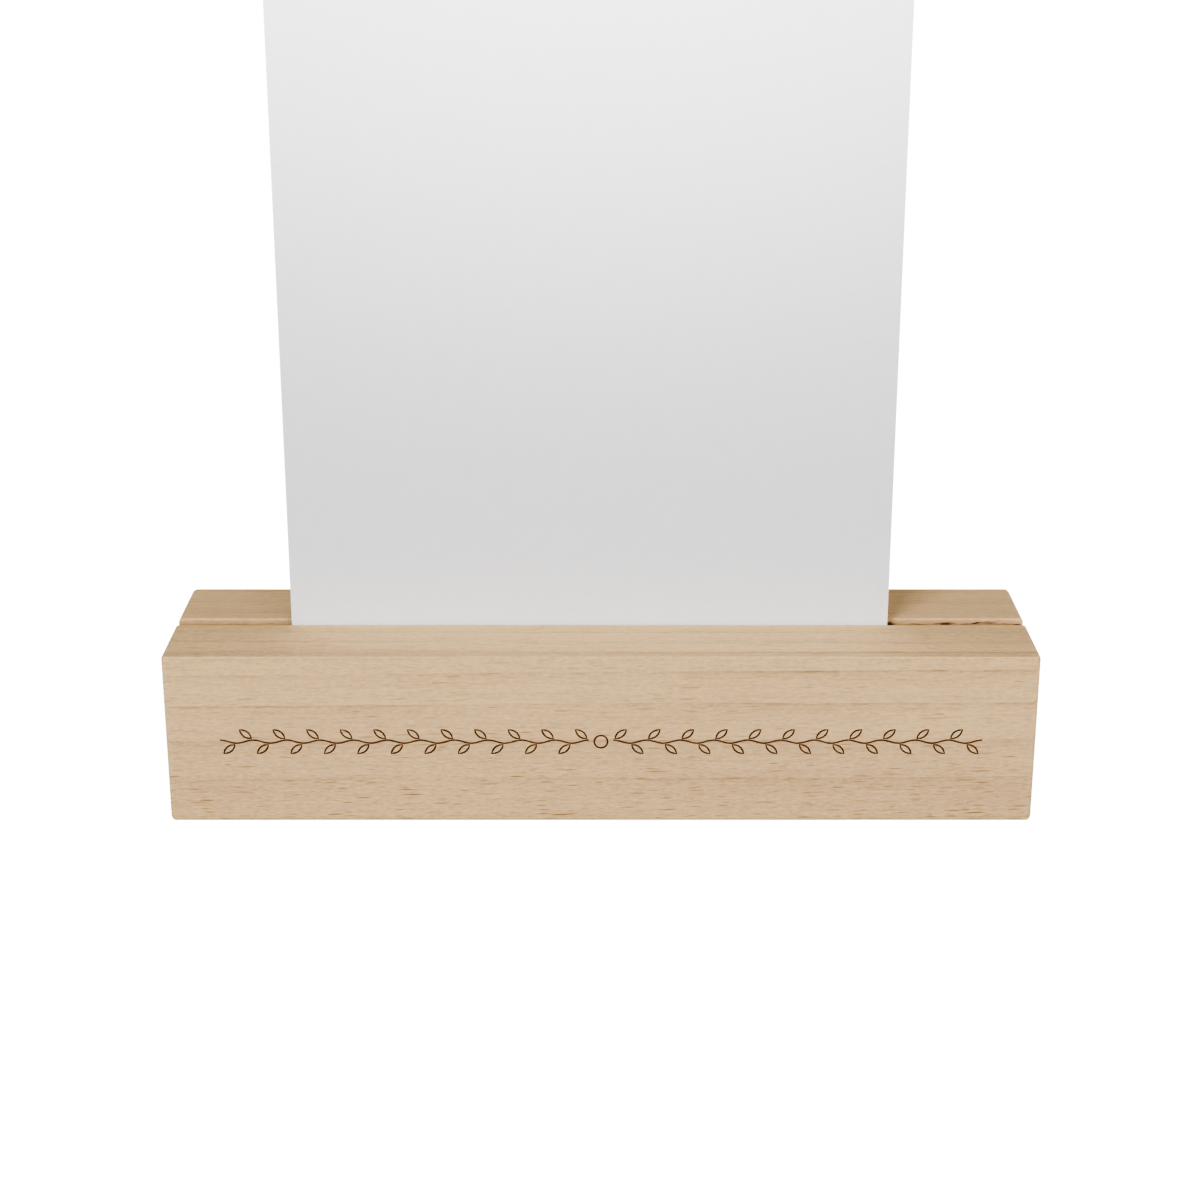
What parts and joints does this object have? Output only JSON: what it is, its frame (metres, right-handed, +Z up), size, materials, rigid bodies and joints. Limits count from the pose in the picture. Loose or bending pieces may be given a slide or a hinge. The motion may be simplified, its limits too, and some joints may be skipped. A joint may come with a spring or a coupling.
{
  "type": "wooden card holder",
  "caption": "Small beech block with an eased saw kerf along its top that holds a post card upright for display.",
  "frame": {"origin": "middle of the block's underside, on the surface it stands on", "axes": "+X along the kerf to the right as seen from the front, +Y from the front to the back, +Z up along the standing card"},
  "size_m": [0.15, 0.035, 0.1668],
  "materials": {
    "beech": "planed and sanded beech, bare or thinly oiled, satin",
    "card_stock": "uncoated white card, matt"
  },
  "bodies": {
    "block": {"holder_block": "beech"},
    "card": {"display_card": "card_stock"}
  },
  "joints": [
    {"name": "card_lift", "type": "slide", "parent": "block", "child": "card", "axis": [0, 0, 1], "range_m": [0, 0.03]}
  ]
}
